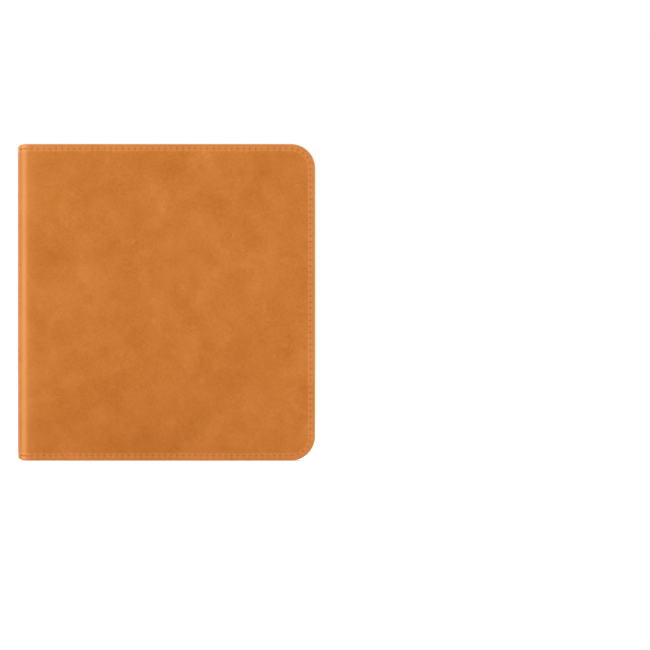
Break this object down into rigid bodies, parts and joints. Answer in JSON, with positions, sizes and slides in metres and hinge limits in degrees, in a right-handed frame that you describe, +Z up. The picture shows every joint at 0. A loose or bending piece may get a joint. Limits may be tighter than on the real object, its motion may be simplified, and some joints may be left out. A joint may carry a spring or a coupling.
{
  "type": "e-reader",
  "caption": "Slim electronic reader with a side grip and page keys, snapped into a stitched leather folio cover with a round rear window for its power button.",
  "frame": {"origin": "middle of the closed folio's lower edge, which it stands on: centre of the bounding box in X and Y, at its bottom in Z", "axes": "+Z up the cover's height, +Y out of the front cover on the reading side, +X towards the spine"},
  "size_m": [0.156, 0.016, 0.166],
  "materials": {
    "tan_leather": "semi-matt waxed pull-up leather with fine grain",
    "grey_board": "pressed bookbinding board",
    "microfibre": "brushed microfibre",
    "thread": "waxed polyester thread",
    "magnet_nickel": "nickel-plated",
    "holder_black": "soft-touch moulded plastic",
    "adhesive": "double-sided tape",
    "housing_black": "fine spark-eroded texture",
    "bezel_black": "fine spark-eroded texture",
    "seal_rubber": "silicone",
    "clear_film": "anti-glare",
    "light_guide": "clear acrylic",
    "epaper": "matt electronic paper",
    "flex_film": "polyimide",
    "led_white": "white board with phosphor lamps",
    "magnesium": "die-cast, tumbled",
    "screw_steel": "zinc-plated",
    "circuit_green": "solder mask",
    "shield_steel": "tinned",
    "chip_black": "moulded epoxy",
    "port_steel": "nickel-plated",
    "battery_foil": "laminated foil pouch",
    "wire_red": "PVC insulation",
    "wire_black": "PVC jacket",
    "copper_foil": "copper on film",
    "switch_white": "moulded nylon",
    "button_gloss": "polished",
    "icon_grey": "printed",
    "key_black": "satin"
  },
  "bodies": {
    "reader_and_back_cover": {"back_leather": "tan_leather", "back_board": "grey_board", "back_lining": "microfibre", "back_magnets": "magnet_nickel", "back_stitching": "thread", "tray_adhesive": "adhesive", "holder_tray": "holder_black", "rear_housing": "housing_black", "housing_seal": "seal_rubber", "front_bezel": "bezel_black", "screen_gasket": "seal_rubber", "touch_film": "clear_film", "light_guide": "light_guide", "led_strip": "led_white", "epaper_panel": "epaper", "display_flex": "flex_film", "midframe": "magnesium", "midframe_screws": "screw_steel", "main_board": "circuit_green", "processor_shield": "shield_steel", "radio_shield": "shield_steel", "board_chips": "chip_black", "board_screws": "screw_steel", "usb_port": "port_steel", "battery": "battery_foil", "battery_adhesive": "adhesive", "battery_lead": "wire_red", "antenna": "copper_foil", "antenna_cable": "wire_black", "power_switch": "switch_white", "key_board": "circuit_green", "key_switches": "switch_white", "key_flex": "flex_film", "hall_sensor": "chip_black"},
    "back_hinge": {"back_fold": "tan_leather", "back_fold_lining": "microfibre"},
    "spine": {"spine_leather": "tan_leather", "spine_board": "grey_board", "spine_lining": "microfibre", "spine_stitching": "thread"},
    "front_hinge": {"front_fold": "tan_leather", "front_fold_lining": "microfibre"},
    "front_cover": {"front_leather": "tan_leather", "front_board": "grey_board", "front_lining": "microfibre", "front_stitching": "thread", "sleep_magnet": "magnet_nickel", "front_magnets": "magnet_nickel"},
    "power_button": {"power_button": "button_gloss", "power_icon": "icon_grey"},
    "page_key_upper": {"page_key_upper": "key_black"},
    "page_key_lower": {"page_key_lower": "key_black"}
  },
  "joints": [
    {"name": "back_fold", "type": "hinge", "parent": "reader_and_back_cover", "child": "back_hinge", "pos_m": [0.07441, -0.00712, 0.083], "axis": [0, 0, -1], "range_deg": [0, 135], "deforming": ["back_fold", "back_fold_lining"]},
    {"name": "back_fold_spine_side", "type": "hinge", "parent": "back_hinge", "child": "spine", "pos_m": [0.07712, -0.00441, 0.083], "axis": [0, 0, -1], "range_deg": [0, 135], "deforming": ["back_fold", "back_fold_lining"]},
    {"name": "front_fold", "type": "hinge", "parent": "spine", "child": "front_hinge", "pos_m": [0.07712, 0.00441, 0.083], "axis": [0, 0, -1], "range_deg": [0, 45], "deforming": ["front_fold", "front_fold_lining"]},
    {"name": "front_fold_cover_side", "type": "hinge", "parent": "front_hinge", "child": "front_cover", "pos_m": [0.07441, 0.00712, 0.083], "axis": [0, 0, -1], "range_deg": [0, 45], "deforming": ["front_fold", "front_fold_lining"]},
    {"name": "power_press", "type": "slide", "parent": "reader_and_back_cover", "child": "power_button", "axis": [0, 1, 0], "range_m": [0, 0.00035], "stiffness_N_per_m": 400, "springref_m": -0.001},
    {"name": "page_key_upper_press", "type": "slide", "parent": "reader_and_back_cover", "child": "page_key_upper", "axis": [0, -1, 0], "range_m": [0, 0.00035], "stiffness_N_per_m": 400, "springref_m": -0.001},
    {"name": "page_key_lower_press", "type": "slide", "parent": "reader_and_back_cover", "child": "page_key_lower", "axis": [0, -1, 0], "range_m": [0, 0.00035], "stiffness_N_per_m": 400, "springref_m": -0.001}
  ]
}
